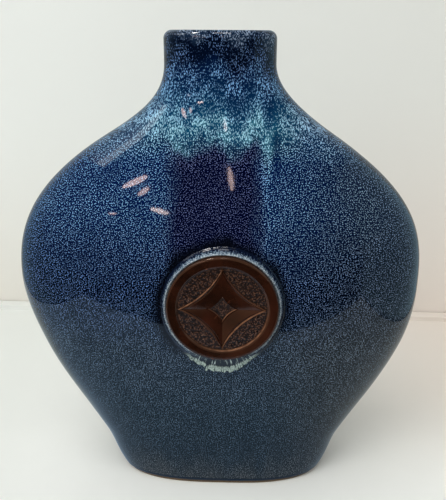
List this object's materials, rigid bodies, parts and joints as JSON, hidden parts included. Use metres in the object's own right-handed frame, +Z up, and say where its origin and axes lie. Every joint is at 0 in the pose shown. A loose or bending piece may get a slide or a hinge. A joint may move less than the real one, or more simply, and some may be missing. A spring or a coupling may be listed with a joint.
{
  "type": "ceramic vase",
  "caption": "Flat-sided moon vase with a short oval neck, mottled blue glaze, and a round brown star medallion in a clay pad on its front.",
  "frame": {"origin": "on the shelf, in the middle of the space that the vase takes (the vase's own axis is 3.3 mm behind it)", "axes": "+Z up, -Y out of the front with the medallion, +X to the right seen from the front"},
  "size_m": [0.251, 0.1236, 0.28],
  "materials": {
    "cobalt_glaze": "gloss, mottled",
    "liner_glaze": "gloss",
    "bare_stoneware": "matt, unglazed",
    "pale_glaze": "gloss",
    "brown_glaze": "gloss on the band, satin in the field"
  },
  "bodies": {
    "root": {"front_shell": "cobalt_glaze", "back_shell": "cobalt_glaze", "neck": "cobalt_glaze", "floor_slab": "liner_glaze", "foot_ring": "bare_stoneware", "medallion_pad": "pale_glaze", "medallion": "brown_glaze"}
  },
  "joints": []
}
